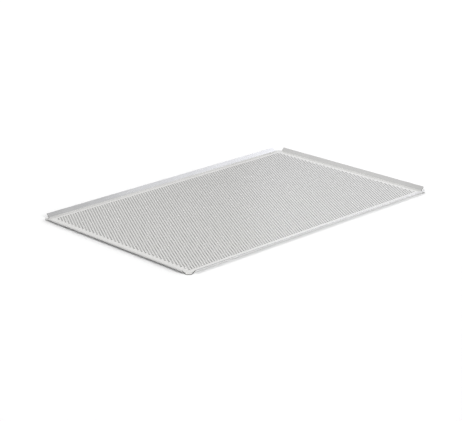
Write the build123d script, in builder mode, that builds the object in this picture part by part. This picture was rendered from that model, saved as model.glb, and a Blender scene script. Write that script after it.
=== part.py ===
"""Perforated baking tray for baguettes and rolls, pressed from one aluminium sheet.

Millimetres, +Z up. The origin is at the middle of the underside, and +X runs along the
tray's length. The sheet is modelled in the regions that it is punched and folded in: bands
of staggered holes, the plain border round them with its corner tabs, and four folded rims.
"""

from build123d import *
from math import cos, radians, sin, tan
import os

# ---- driving dimensions -------------------------------------------------------------
TRAY_LENGTH = 600.0  # over the rims, along X
TRAY_WIDTH = 400.0  # over the rims, along Y
TRAY_HEIGHT = 8.0  # from the underside to the top of the rims

SHEET = 1.5  # thickness of the aluminium sheet
RIM_ANGLE = 45.0  # how far each rim is folded up from the floor, degrees
BEND_RADIUS = 2.0  # inside radius of the fold

CORNER_GAP = 9.0  # from the corner of the bend lines to the end of each rim
RELIEF = 1.5  # the slit between the end of a rim and the flat corner tab
RIM_CORNER_RADIUS = 2.0  # the rounded upper corner at each end of a rim
TAB_OVERHANG = 1.5  # how far a corner tab stands out past the bend lines
TAB_CLIP = 4.5  # the cut that takes the point off each corner tab

HOLE_DIAMETER = 3.0
HOLE_PITCH = 5.5  # between the holes of one row, along X
ROW_SPACING = 5.0  # between the rows, each half a pitch out of step with the next
ROWS_PER_BAND = 8  # the holes are punched in bands, each with an even number of rows
PLAIN_MARGIN = 15.0  # at least this much from a bend line to the nearest hole centres

# ---- worked out from the driving dimensions ------------------------------------------
ANGLE = radians(RIM_ANGLE)
RIM_SLANT = (TRAY_HEIGHT - SHEET * cos(ANGLE)) / sin(ANGLE)  # bend line to rim edge
RIM_REACH = RIM_SLANT * cos(ANGLE)  # how far a rim leans out past its bend line
BEND_LENGTH = TRAY_LENGTH - 2 * RIM_REACH  # between the bend lines of the short sides
BEND_WIDTH = TRAY_WIDTH - 2 * RIM_REACH  # between the bend lines of the long sides

BEND_SETBACK = (BEND_RADIUS + SHEET) * tan(ANGLE / 2)  # from a bend line in to flat sheet
FLOOR_LENGTH = BEND_LENGTH - 2 * BEND_SETBACK
FLOOR_WIDTH = BEND_WIDTH - 2 * BEND_SETBACK
RIM_FLAT = RIM_SLANT - BEND_SETBACK  # the straight part of a rim, from the fold outwards
LONG_RIM = BEND_LENGTH - 2 * CORNER_GAP
SHORT_RIM = BEND_WIDTH - 2 * CORNER_GAP

TAB_SIDE = CORNER_GAP - RELIEF + TAB_OVERHANG  # from the slit to the tab's outer edge
TAB_SPACING_X = BEND_LENGTH + 2 * TAB_OVERHANG - TAB_SIDE
TAB_SPACING_Y = BEND_WIDTH + 2 * TAB_OVERHANG - TAB_SIDE

HOLES_PER_ROW = int((BEND_LENGTH - 2 * PLAIN_MARGIN) / HOLE_PITCH) + 1
BAND_WIDTH = ROWS_PER_BAND * ROW_SPACING
BANDS = int((BEND_WIDTH - 2 * PLAIN_MARGIN + ROW_SPACING) / BAND_WIDTH)
FIELD_LENGTH = HOLES_PER_ROW * HOLE_PITCH
FIELD_WIDTH = BANDS * BAND_WIDTH


def write_piece(piece, name):
    """Label a finished piece and write it as parts/name.step."""
    piece.label = name
    export_step(piece, f"parts/{name}.step", write_pcurves=False)


def punch_rows(offset, holes_per_row):
    """Punch every second row of a band, offset from the band's middle line."""
    with Locations((0, offset)):
        with GridLocations(HOLE_PITCH, 2 * ROW_SPACING, holes_per_row, ROWS_PER_BAND // 2):
            Circle(HOLE_DIAMETER / 2, mode=Mode.SUBTRACT)


def make_rim(outwards, fold_distance, length):
    """One folded rim. Outwards is the side it leans to, and the fold starts at fold_distance."""
    along = outwards.cross(Vector(0, 0, 1))
    section = Plane(origin=outwards * fold_distance, x_dir=outwards, z_dir=along)
    fold_centre = (0, SHEET + BEND_RADIUS)
    with BuildPart() as rim:
        with BuildSketch(section):
            with BuildLine():
                inside_fold = CenterArc(fold_centre, BEND_RADIUS, -90, RIM_ANGLE)
                outside_fold = CenterArc(fold_centre, BEND_RADIUS + SHEET, -90, RIM_ANGLE)
                inside_flat = PolarLine(inside_fold @ 1, RIM_FLAT, RIM_ANGLE)
                outside_flat = PolarLine(outside_fold @ 1, RIM_FLAT, RIM_ANGLE)
                Line(inside_fold @ 0, outside_fold @ 0)
                Line(inside_flat @ 1, outside_flat @ 1)
            make_face()
        extrude(amount=length / 2, both=True)
        across_the_sheet = edges().filter_by(lambda edge: abs(edge.length - SHEET) < SHEET / 100)
        outer_corners = across_the_sheet.sort_by(Axis.Z)[-2:]
        fillet(outer_corners, RIM_CORNER_RADIUS)
    return rim.part


os.makedirs("parts", exist_ok=True)

# ---- the plain border: flat sheet between the holes and the folds, with its corner tabs ----
with BuildPart() as plain_border:
    with BuildSketch():
        with GridLocations(TAB_SPACING_X, TAB_SPACING_Y, 2, 2):
            Rectangle(TAB_SIDE, TAB_SIDE)
        tab_points = vertices().group_by(SortBy.DISTANCE)[-1]
        chamfer(tab_points, TAB_CLIP)
        Rectangle(FLOOR_LENGTH, FLOOR_WIDTH)
        Rectangle(FIELD_LENGTH, FIELD_WIDTH, mode=Mode.SUBTRACT)
    extrude(amount=SHEET)

write_piece(plain_border.part, "plain_border")

# ---- the perforated field: equal bands of staggered holes, edge to edge inside the border ----
with BuildPart() as perforated_band:
    with BuildSketch():
        Rectangle(FIELD_LENGTH, BAND_WIDTH)
        punch_rows(-ROW_SPACING / 2, HOLES_PER_ROW)
        punch_rows(ROW_SPACING / 2, HOLES_PER_ROW - 1)
    extrude(amount=SHEET, clean=False)

band_places = GridLocations(0, BAND_WIDTH, 1, BANDS).locations
for number, place in enumerate(band_places, start=1):
    write_piece(perforated_band.part.moved(place), f"perforated_band_{number}")

# ---- the four rims, each leaning out at the same angle ----
write_piece(make_rim(Vector(0, -1, 0), FLOOR_WIDTH / 2, LONG_RIM), "front_rim")
write_piece(make_rim(Vector(0, 1, 0), FLOOR_WIDTH / 2, LONG_RIM), "back_rim")
write_piece(make_rim(Vector(-1, 0, 0), FLOOR_LENGTH / 2, SHORT_RIM), "left_rim")
write_piece(make_rim(Vector(1, 0, 0), FLOOR_LENGTH / 2, SHORT_RIM), "right_rim")
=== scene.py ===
import math
from contextlib import contextmanager

import bmesh
import bpy
import numpy as np
from mathutils import Matrix, Vector


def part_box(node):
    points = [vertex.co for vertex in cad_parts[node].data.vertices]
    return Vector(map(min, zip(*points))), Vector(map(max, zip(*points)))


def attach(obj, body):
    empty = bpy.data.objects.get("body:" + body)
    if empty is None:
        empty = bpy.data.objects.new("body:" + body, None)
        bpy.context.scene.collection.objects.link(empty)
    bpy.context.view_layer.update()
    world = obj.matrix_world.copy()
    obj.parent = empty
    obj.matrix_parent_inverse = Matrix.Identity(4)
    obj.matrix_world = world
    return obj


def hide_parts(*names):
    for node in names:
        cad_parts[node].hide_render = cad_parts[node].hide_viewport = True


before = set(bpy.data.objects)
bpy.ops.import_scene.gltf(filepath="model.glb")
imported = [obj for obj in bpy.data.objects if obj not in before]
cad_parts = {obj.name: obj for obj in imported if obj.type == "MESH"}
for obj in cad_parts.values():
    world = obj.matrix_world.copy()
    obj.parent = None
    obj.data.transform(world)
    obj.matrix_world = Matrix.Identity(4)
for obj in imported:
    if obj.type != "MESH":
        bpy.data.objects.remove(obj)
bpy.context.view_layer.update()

# ---- sizes, in metres ------------------------------------------------------------------
MM = 0.001
TOLERANCE = MM / 100  # for deciding that a point lies on a line
MERGE_DISTANCE = MM / 1000  # points closer together than this are one point

# Read from the CAD frame
_, border_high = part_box("plain_border")
band_low, band_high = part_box("perforated_band_1")
front_low, front_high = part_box("front_rim")
left_low, left_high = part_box("left_rim")

SHEET = border_high.z  # the thickness of the sheet, which lies on z = 0
TRAY_HEIGHT = front_high.z
FOLD_X = -left_high.x  # where the flat floor ends and the folds begin, along X
FOLD_Y = -front_high.y  # and along Y
LONG_RIM = front_high.x - front_low.x
SHORT_RIM = left_high.y - left_low.y
FIELD_X = band_high.x  # half the perforated field
FIELD_Y = -band_low.y
BAND_WIDTH = band_high.y - band_low.y
TAB_X = border_high.x  # the outer edges of the corner tabs
TAB_Y = border_high.y

# The same details as the CAD part
RIM_ANGLE = math.radians(45)
BEND_RADIUS = 2 * MM
RIM_CORNER_RADIUS = 2 * MM
RELIEF = 1.5 * MM  # the slit between the end of a rim and the corner tab
TAB_CLIP = 4.5 * MM
HOLE_RADIUS = 1.5 * MM
HOLE_PITCH = 5.5 * MM
ROW_SPACING = 5 * MM
ROWS_PER_BAND = round(BAND_WIDTH / ROW_SPACING)
BANDS = round(2 * FIELD_Y / BAND_WIDTH)

# Finishing that only the eye needs
EDGE_ROUNDING = 0.15 * MM  # on the cut edges of the rims and tabs
PUNCH_ROLLOVER = 0.12 * MM  # the soft upper edge that the punch leaves round each hole
ROLLOVER_SHOULDER = 0.3  # the rollover's middle point, as a share of its width and its depth
LAP = 0.5 * MM  # flat strip that each rim piece takes with it, so that no fold starts at a joint

# How finely round shapes are divided, and what counts as a corner
HOLE_SIDES = 16
FOLD_STEPS = 8
RIM_CORNER_STEPS = 6
RIM_SPANS = 24
EDGE_STEPS = 3
CUT_ANGLE = math.radians(35)  # an edge sharper than this is a cut edge
SHARP_ANGLE = math.radians(50)  # an edge sharper than this is shaded as a corner
FACING = 0.5  # a face whose normal has more than this share along a direction faces that way


# ---- small helpers ---------------------------------------------------------------------
def add_mesh(name, vertices, faces):
    """A new object from points and faces, linked to the scene."""
    mesh = bpy.data.meshes.new(name)
    mesh.from_pydata(vertices, [], faces)
    mesh.update()
    piece = bpy.data.objects.new(name, mesh)
    bpy.context.scene.collection.objects.link(piece)
    return piece


@contextmanager
def editing(piece):
    """The piece's mesh as a bmesh, written back when the block ends."""
    work = bmesh.new()
    work.from_mesh(piece.data)
    yield work
    work.to_mesh(piece.data)
    work.free()


def round_edges(work, edges, radius, steps):
    """Round the edges to the radius, in that many steps."""
    bmesh.ops.bevel(work, geom=edges, offset=radius, segments=steps, profile=0.5,
                    affect="EDGES", clamp_overlap=True)


def soften_cut_edges(piece, is_free):
    """Merge doubled points, face everything outwards and round the cut edges that is_free picks."""
    with editing(piece) as work:
        bmesh.ops.remove_doubles(work, verts=work.verts, dist=MERGE_DISTANCE)
        bmesh.ops.recalc_face_normals(work, faces=work.faces)
        cut = [edge for edge in work.edges if edge.is_manifold and edge.calc_face_angle() > CUT_ANGLE]
        round_edges(work, [edge for edge in cut if is_free(edge)], EDGE_ROUNDING, EDGE_STEPS)


def finish_piece(piece, node, metals, gets_shaded_cut_metal):
    """Shade the piece and let it stand for its node, with the dark cut metal, which carries painted shade,
    on the faces whose normal the given test picks.
    """
    for metal in metals:
        piece.data.materials.append(metal)
    for face in piece.data.polygons:
        # faces picked here get the dark cut metal, whose colour is painted shade
        face.material_index = int(gets_shaded_cut_metal(face.normal))
    piece.data.shade_smooth()
    piece.data.set_sharp_from_angle(angle=SHARP_ANGLE)
    weighted = piece.modifiers.new("weighted_normals", "WEIGHTED_NORMAL")
    weighted.keep_sharp = True
    weighted.weight = 100
    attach(piece, "root")
    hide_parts(node)


# ---- the materials ---------------------------------------------------------------------
def start_metal(name):
    """A new metallic material: the material, its node tree and its shader."""
    material = bpy.data.materials.new(name)
    material.use_nodes = True
    tree = material.node_tree
    shader = tree.nodes["Principled BSDF"]
    shader.inputs["Metallic"].default_value = 1.0
    return material, tree, shader


def add_noise(tree, scale, detail, stretch=(1, 1, 1)):
    """Noise on the object's own coordinates, drawn out along each axis where stretch is below 1."""
    place = tree.nodes.new("ShaderNodeTexCoord")
    mapping = tree.nodes.new("ShaderNodeMapping")
    mapping.inputs["Scale"].default_value = stretch
    texture = tree.nodes.new("ShaderNodeTexNoise")
    texture.inputs["Scale"].default_value = scale
    texture.inputs["Detail"].default_value = detail
    tree.links.new(place.outputs["Object"], mapping.inputs["Vector"])
    tree.links.new(mapping.outputs["Vector"], texture.inputs["Vector"])
    return texture.outputs["Fac"]


def add_spread(tree, value, low, high, least=0.3, most=0.7):
    """Map a value from least to most, where noise mostly lies, onto low to high."""
    remap = tree.nodes.new("ShaderNodeMapRange")
    remap.inputs["From Min"].default_value = least
    remap.inputs["From Max"].default_value = most
    remap.inputs["To Min"].default_value = low
    remap.inputs["To Max"].default_value = high
    tree.links.new(value, remap.inputs["Value"])
    return remap.outputs["Result"]


def add_sum(tree, first, second):
    """The sum of two values."""
    total = tree.nodes.new("ShaderNodeMath")
    total.operation = "ADD"
    tree.links.new(first, total.inputs[0])
    tree.links.new(second, total.inputs[1])
    return total.outputs[0]


def add_colours(tree, share, dark, light):
    """A colour between dark and light, lighter as share goes from 0 to 1."""
    mix = tree.nodes.new("ShaderNodeMix")
    mix.data_type = "RGBA"
    factor, first, second = mix.inputs[0], mix.inputs[6], mix.inputs[7]  # the ones for colours
    first.default_value = (*dark, 1)
    second.default_value = (*light, 1)
    tree.links.new(share, factor)
    return mix.outputs[2]


def add_relief(tree, height, strength, depth, over=None):
    """Relief from a height, no deeper than depth, on top of the relief given as over."""
    bump = tree.nodes.new("ShaderNodeBump")
    bump.inputs["Strength"].default_value = strength
    bump.inputs["Distance"].default_value = depth
    tree.links.new(height, bump.inputs["Height"])
    if over is not None:
        tree.links.new(over, bump.inputs["Normal"])
    return bump.outputs["Normal"]


def make_aluminium():
    """Bright rolled aluminium: grain along X, faint mottling and a slightly uneven surface."""
    material, tree, shader = start_metal("aluminium_sheet")
    grain = add_noise(tree, scale=900, detail=3, stretch=(0.03, 1, 1))
    mottling = add_noise(tree, scale=14, detail=4)
    unevenness = add_noise(tree, scale=6, detail=2)

    lightness = add_sum(tree, add_spread(tree, grain, 0.15, 0.55), add_spread(tree, mottling, 0.0, 0.4))
    colour = add_colours(tree, lightness, dark=(0.765, 0.763, 0.762), light=(0.885, 0.882, 0.88))
    rough = add_sum(tree, add_spread(tree, grain, 0.15, 0.21), add_spread(tree, mottling, 0.02, 0.09))
    fine = add_relief(tree, grain, strength=0.25, depth=0.02 * MM)
    waves = add_relief(tree, unevenness, strength=0.5, depth=0.4 * MM, over=fine)

    tree.links.new(colour, shader.inputs["Base Color"])
    tree.links.new(rough, shader.inputs["Roughness"])
    tree.links.new(waves, shader.inputs["Normal"])
    return material


def make_shaded_cut_metal():
    """The duller, rougher metal where the sheet was punched or sheared through, with streaks across its
    thickness; its dark colour is painted shade for the hole walls, tab sides and rim ends.
    """
    material, tree, shader = start_metal("cut_metal_with_painted_shade")
    streaks = add_noise(tree, scale=2500, detail=2, stretch=(1, 1, 0.2))

    lightness = add_spread(tree, streaks, 0.0, 1.0)
    # painted shade: this dark colour stands in for the shade inside the holes and at the rim ends and tab
    # sides
    colour = add_colours(tree, lightness, dark=(0.19, 0.19, 0.184), light=(0.31, 0.31, 0.3))
    rough = add_spread(tree, streaks, 0.4, 0.65, least=0.0, most=1.0)
    relief = add_relief(tree, streaks, strength=0.4, depth=0.03 * MM)

    tree.links.new(colour, shader.inputs["Base Color"])
    tree.links.new(rough, shader.inputs["Roughness"])
    tree.links.new(relief, shader.inputs["Normal"])
    return material


# ---- the plain border ------------------------------------------------------------------
def make_border(metals):
    """The flat ring round the holes, with a clipped tab standing out at each corner."""
    inner_x = FOLD_X - LAP
    inner_y = FOLD_Y - LAP
    slit_x = LONG_RIM / 2
    slit_y = SHORT_RIM / 2
    corner = [
        (FIELD_X, FIELD_Y),
        (inner_x, FIELD_Y),
        (inner_x, slit_y),
        (FOLD_X, slit_y),
        (FOLD_X, slit_y + RELIEF),
        (TAB_X, slit_y + RELIEF),
        (TAB_X, TAB_Y - TAB_CLIP),
        (TAB_X - TAB_CLIP, TAB_Y),
        (slit_x + RELIEF, TAB_Y),
        (slit_x + RELIEF, FOLD_Y),
        (slit_x, FOLD_Y),
        (slit_x, inner_y),
        (FIELD_X, inner_y),
    ]
    side = [(FIELD_X, -FIELD_Y), (inner_x, -FIELD_Y), (inner_x, FIELD_Y), (FIELD_X, FIELD_Y)]
    end = [(-FIELD_X, FIELD_Y), (FIELD_X, FIELD_Y), (FIELD_X, inner_y), (-FIELD_X, inner_y)]

    outlines = [[(x * sx, y * sy) for x, y in corner] for sx in (1, -1) for sy in (1, -1)]
    outlines += [[(x * sx, y) for x, y in side] for sx in (1, -1)]
    outlines += [[(x, y * sy) for x, y in end] for sy in (1, -1)]

    vertices = []
    faces = []
    for outline in outlines:
        faces.append(range(len(vertices), len(vertices) + len(outline)))
        vertices += [(x, y, SHEET) for x, y in outline]
    piece = add_mesh("plain_border_sheet", vertices, faces)

    with editing(piece) as work:
        bmesh.ops.remove_doubles(work, verts=work.verts, dist=MERGE_DISTANCE)
        bmesh.ops.recalc_face_normals(work, faces=work.faces)
        lower = bmesh.ops.extrude_face_region(work, geom=work.faces[:] + work.edges[:] + work.verts[:],
                                              use_keep_orig=True)
        for vertex in (item for item in lower["geom"] if isinstance(item, bmesh.types.BMVert)):
            vertex.co.z = 0

    def is_free(edge):
        return all(abs(vertex.co.x) > FOLD_X - TOLERANCE or abs(vertex.co.y) > FOLD_Y - TOLERANCE
                   for vertex in edge.verts)

    soften_cut_edges(piece, is_free)
    # the tab's side faces get the cut metal with its painted shade
    finish_piece(piece, "plain_border", metals, lambda normal: abs(normal.z) < FACING)


# ---- the folded rims -------------------------------------------------------------------
def rim_section():
    """The middle of the sheet across a rim, from its lap to its free edge: (outwards, up, tilt)."""
    middle = BEND_RADIUS + SHEET / 2
    points = [(-LAP, SHEET / 2, 0.0)]
    for step in range(FOLD_STEPS + 1):
        tilt = RIM_ANGLE * step / FOLD_STEPS
        points.append((middle * math.sin(tilt), SHEET + BEND_RADIUS - middle * math.cos(tilt), tilt))

    fold_out, fold_up, _ = points[-1]
    free_up = TRAY_HEIGHT - SHEET / 2 * math.cos(RIM_ANGLE)
    free_out = fold_out + (free_up - fold_up) / math.tan(RIM_ANGLE)
    return points + [(free_out, free_up, RIM_ANGLE)]


def make_rim(name, node, outwards, fold, length, metals):
    """One rim: a sheet folded up by RIM_ANGLE, its free corners rounded, then its cut edges softened."""
    up = Vector((0, 0, 1))
    along = up.cross(outwards)
    rows = rim_section()

    vertices = []
    for side in (0.5, -0.5):
        for out, rise, tilt in rows:
            for span in range(RIM_SPANS + 1):
                reach = fold + out - side * SHEET * math.sin(tilt)
                offset = (span / RIM_SPANS - 0.5) * length
                height = rise + side * SHEET * math.cos(tilt)
                vertices.append(outwards * reach + along * offset + up * height)

    columns = RIM_SPANS + 1
    layer = len(rows) * columns
    last_row = layer - columns
    faces = []
    for row in range(0, last_row, columns):
        for a in range(row, row + RIM_SPANS):
            faces.append((a, a + 1, a + columns + 1, a + columns))
            faces.append((layer + a, layer + a + columns, layer + a + columns + 1, layer + a + 1))
    for row in range(0, last_row, columns):
        for a in (row, row + RIM_SPANS):
            faces.append((a, a + columns, layer + a + columns, layer + a))
    for span in range(RIM_SPANS):
        for a in (span, last_row + span):
            faces.append((a, a + 1, layer + a + 1, layer + a))
    piece = add_mesh(name, vertices, faces)

    def is_free_corner(edge):
        is_across_sheet = abs(edge.calc_length() - SHEET) < TOLERANCE
        is_at_end = all(abs(abs(vertex.co.dot(along)) - length / 2) < TOLERANCE for vertex in edge.verts)
        return is_across_sheet and is_at_end and min(vertex.co.z for vertex in edge.verts) > TRAY_HEIGHT / 2

    def is_free(edge):
        return all(vertex.co.dot(outwards) > fold - TOLERANCE for vertex in edge.verts)

    with editing(piece) as work:
        corners = [edge for edge in work.edges if is_free_corner(edge)]
        round_edges(work, corners, RIM_CORNER_RADIUS, RIM_CORNER_STEPS)
    soften_cut_edges(piece, is_free)
    # the rim's end faces get the cut metal with its painted shade
    finish_piece(piece, node, metals, lambda normal: abs(normal.dot(along)) > FACING)


# ---- the perforated field --------------------------------------------------------------
def hole_cell():
    """One hole in the middle of its own patch of sheet: points and faces, all about (0, 0)."""
    turn = np.arange(HOLE_SIDES) * 2 * np.pi / HOLE_SIDES
    circle = np.stack([np.cos(turn), np.sin(turn)], 1)
    half_x = HOLE_PITCH / 2
    half_y = ROW_SPACING / 2
    patch = np.array([(half_x, 0), (half_x, half_y), (0, half_y), (-half_x, half_y),
                      (-half_x, 0), (-half_x, -half_y), (0, -half_y), (half_x, -half_y)])

    def level(outline, z):
        return np.column_stack([outline, np.full(len(outline), z)])

    shoulder = PUNCH_ROLLOVER * ROLLOVER_SHOULDER
    rings = [
        level(patch, SHEET),
        level(circle * (HOLE_RADIUS + PUNCH_ROLLOVER), SHEET),
        level(circle * (HOLE_RADIUS + shoulder), SHEET - shoulder),
        level(circle * HOLE_RADIUS, SHEET - PUNCH_ROLLOVER),
        level(circle * HOLE_RADIUS, 0),
        level(patch, 0),
    ]
    top_patch, *circles, bottom_patch = np.cumsum([0] + [len(ring) for ring in rings[:-1]])
    faces = []

    def fill(outer, inner, is_underside):
        """Fill between the patch that starts at outer and the circle that starts at inner with triangles."""
        per_side = HOLE_SIDES // len(patch)
        middle = per_side // 2
        for side in range(len(patch)):
            here = outer + side
            after = outer + (side + 1) % len(patch)
            ring = [inner + (side * per_side + step) % HOLE_SIDES for step in range(per_side + 1)]
            triangles = [(here, ring[step + 1], ring[step]) for step in range(middle)]
            triangles.append((here, after, ring[middle]))
            triangles += [(after, ring[step + 1], ring[step]) for step in range(middle, per_side)]
            faces.extend([corners[::-1] if is_underside else corners for corners in triangles])

    fill(top_patch, circles[0], is_underside=False)
    fill(bottom_patch, circles[-1], is_underside=True)
    for upper in circles[:-1]:
        for step in range(HOLE_SIDES):
            a = upper + step
            b = upper + (step + 1) % HOLE_SIDES
            faces.append((a, b, b + HOLE_SIDES, a + HOLE_SIDES))
    return np.concatenate(rings), faces


def make_band(number, middle_y, metals):
    """One band of the field: rows of cells, each row half a pitch out of step with the next."""
    cell_points, cell_faces = hole_cell()
    points = []
    faces = []
    short_rows = []
    for row in range(ROWS_PER_BAND):
        y = middle_y + (row + 0.5 - ROWS_PER_BAND / 2) * ROW_SPACING
        is_short_row = row % 2 == 1
        holes = round(2 * FIELD_X / HOLE_PITCH) - is_short_row
        for column in range(holes):
            x = (column - (holes - 1) / 2) * HOLE_PITCH
            first = len(points) * len(cell_points)
            points.append(cell_points + (x, y, 0))
            faces += [tuple(index + first for index in face) for face in cell_faces]
        if is_short_row:
            short_rows.append(y)

    # Each end of a short row is half a cell of plain sheet, with an upper and a lower face
    first = len(points) * len(cell_points)
    half_cell = np.array([(0, -0.5), (1, -0.5), (1, 0.5), (0, 0.5), (0, 0)]) * (HOLE_PITCH / 2, ROW_SPACING)
    count = len(half_cell)
    for y in short_rows:
        for side in (1, -1):
            outline = (half_cell + (FIELD_X - HOLE_PITCH / 2, 0)) * (side, side) + (0, y)
            for z, order in ((SHEET, 1), (0, -1)):
                points.append(np.column_stack([outline, np.full(count, z)]))
                faces.append(tuple(range(first, first + count))[::order])
                first += count
    piece = add_mesh(f"perforated_band_{number}_sheet", np.concatenate(points), faces)

    with editing(piece) as work:
        bmesh.ops.remove_doubles(work, verts=work.verts, dist=MERGE_DISTANCE)
        bmesh.ops.bridge_loops(work, edges=[edge for edge in work.edges if edge.is_boundary])
    # the hole walls get the cut metal with its painted shade
    finish_piece(piece, f"perforated_band_{number}", metals, lambda normal: abs(normal.z) < FACING)


# ---- the camera ------------------------------------------------------------------------
def add_camera():
    """The photograph's viewpoint: low over the left front corner, through a long lens."""
    azimuth = math.radians(-42.70)
    elevation = math.radians(19.04)
    roll = math.radians(-1.05)
    distance = 2.683
    aim = Vector((-0.0283, -0.0092, 0))

    back = Vector((math.sin(azimuth) * math.cos(elevation),
                   -math.cos(azimuth) * math.cos(elevation),
                   math.sin(elevation)))
    lens = bpy.data.cameras.new("camera")
    lens.lens = 116
    lens.sensor_width = 36
    lens.clip_end = 100
    camera = bpy.data.objects.new("camera", lens)
    camera.matrix_world = (Matrix.Translation(aim + back * distance)
                           @ back.to_track_quat("Z", "Y").to_matrix().to_4x4()
                           @ Matrix.Rotation(roll, 4, "Z"))
    bpy.context.scene.collection.objects.link(camera)
    bpy.context.scene.camera = camera


# ---- the floor and the light -----------------------------------------------------------
WHITE = (1, 1, 1)
WARM = (1, 0.995, 0.965)
COOL = (0.90, 0.92, 1)


def add_floor():
    """A plain pale floor."""
    reach = 15
    corners = [(-reach, -reach, 0), (reach, -reach, 0), (reach, reach, 0), (-reach, reach, 0)]
    floor = add_mesh("floor", corners, [(0, 1, 2, 3)])
    material = bpy.data.materials.new("pale_floor")
    material.use_nodes = True
    shader = material.node_tree.nodes["Principled BSDF"]
    shader.inputs["Base Color"].default_value = (0.8, 0.8, 0.8, 1)
    shader.inputs["Roughness"].default_value = 0.9
    shader.inputs["Specular IOR Level"].default_value = 0.1
    floor.data.materials.append(material)


def add_lamp(name, kind, towards, place=(0, 0, 0)):
    """A lamp at place whose light comes from the direction towards; returns its settings."""
    lamp = bpy.data.lights.new(name, kind)
    light = bpy.data.objects.new(name, lamp)
    light.location = place
    light.rotation_euler = Vector(towards).to_track_quat("Z", "Y").to_euler()
    bpy.context.scene.collection.objects.link(light)
    return lamp


def add_panel(name, place, size, radiance, colour=WHITE):
    """A square soft box at place, facing the tray, as bright all over as radiance says."""
    lamp = add_lamp(name, "AREA", towards=place, place=place)
    lamp.shape = "SQUARE"
    lamp.size = size
    lamp.energy = radiance * math.pi * size ** 2
    lamp.color = colour


def add_wash(name, towards, spread, strength):
    """Even white light over the whole floor, from a soft source spread degrees wide."""
    lamp = add_lamp(name, "SUN", towards)
    lamp.angle = math.radians(spread)
    lamp.energy = strength


def add_lights():
    """A bright studio: two even washes, and soft boxes to the right, behind and in front."""
    world = bpy.data.worlds.new("studio")
    world.use_nodes = True
    background = world.node_tree.nodes["Background"]
    background.inputs["Color"].default_value = (1, 1, 1, 1)
    background.inputs["Strength"].default_value = 0.46
    bpy.context.scene.world = world

    add_wash("overhead_wash", towards=(-0.47, 0, 0.88), spread=30, strength=1.5)
    add_wash("front_wash", towards=(0.1, -0.9, 0.46), spread=44, strength=2.1)
    add_panel("right_box", place=(2.6, -0.65, 2.0), size=1.8, radiance=0.4, colour=COOL)
    add_panel("far_right_box", place=(3.4, -0.6, 2.2), size=1.2, radiance=1.05, colour=COOL)
    add_panel("back_box", place=(2.2, 2.4, 2.3), size=3.0, radiance=0.46, colour=WARM)
    add_panel("low_back_box", place=(3.6, 2.6, 1.4), size=1.6, radiance=0.17, colour=COOL)
    add_panel("left_back_box", place=(-2.3, 2.7, 2.2), size=3.0, radiance=0.3, colour=WARM)
    add_panel("low_front_box", place=(2.4, -2.8, 1.1), size=2.2, radiance=0.35)
    bpy.context.scene.view_settings.view_transform = "Standard"


# ---- the scene -------------------------------------------------------------------------
add_camera()
metals = [make_aluminium(), make_shaded_cut_metal()]
make_border(metals)
make_rim("front_rim_sheet", "front_rim", Vector((0, -1, 0)), FOLD_Y, LONG_RIM, metals)
make_rim("back_rim_sheet", "back_rim", Vector((0, 1, 0)), FOLD_Y, LONG_RIM, metals)
make_rim("left_rim_sheet", "left_rim", Vector((-1, 0, 0)), FOLD_X, SHORT_RIM, metals)
make_rim("right_rim_sheet", "right_rim", Vector((1, 0, 0)), FOLD_X, SHORT_RIM, metals)

for band in range(BANDS):
    make_band(band + 1, (band + 0.5) * BAND_WIDTH - FIELD_Y, metals)

add_floor()
add_lights()
